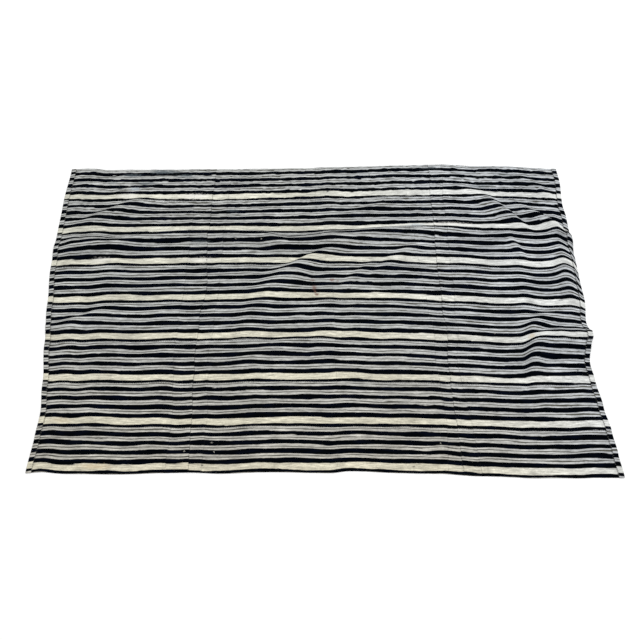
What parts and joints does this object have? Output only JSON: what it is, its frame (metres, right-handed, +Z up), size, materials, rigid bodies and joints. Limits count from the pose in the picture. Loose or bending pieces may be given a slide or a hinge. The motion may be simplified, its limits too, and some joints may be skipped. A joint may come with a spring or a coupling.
{
  "type": "strip-woven cloth",
  "caption": "Flat rectangular cotton cloth of narrow striped indigo and cream strips sewn edge to edge, with turned hems at both short ends, lying with a long low ridge.",
  "frame": {"origin": "under the middle of the cloth's box, on the surface that it lies on", "axes": "+X along the woven strips and their stripes, +Y towards the back edge of the picture, +Z up"},
  "size_m": [1.6116, 0.9965, 0.0265],
  "materials": {
    "woven_cotton": "matt hand-woven cotton"
  },
  "bodies": {
    "root": {"strip_1": "woven_cotton", "strip_2": "woven_cotton", "strip_3": "woven_cotton", "strip_4": "woven_cotton", "strip_5": "woven_cotton", "strip_6": "woven_cotton", "strip_7": "woven_cotton", "strip_8": "woven_cotton"}
  },
  "joints": []
}
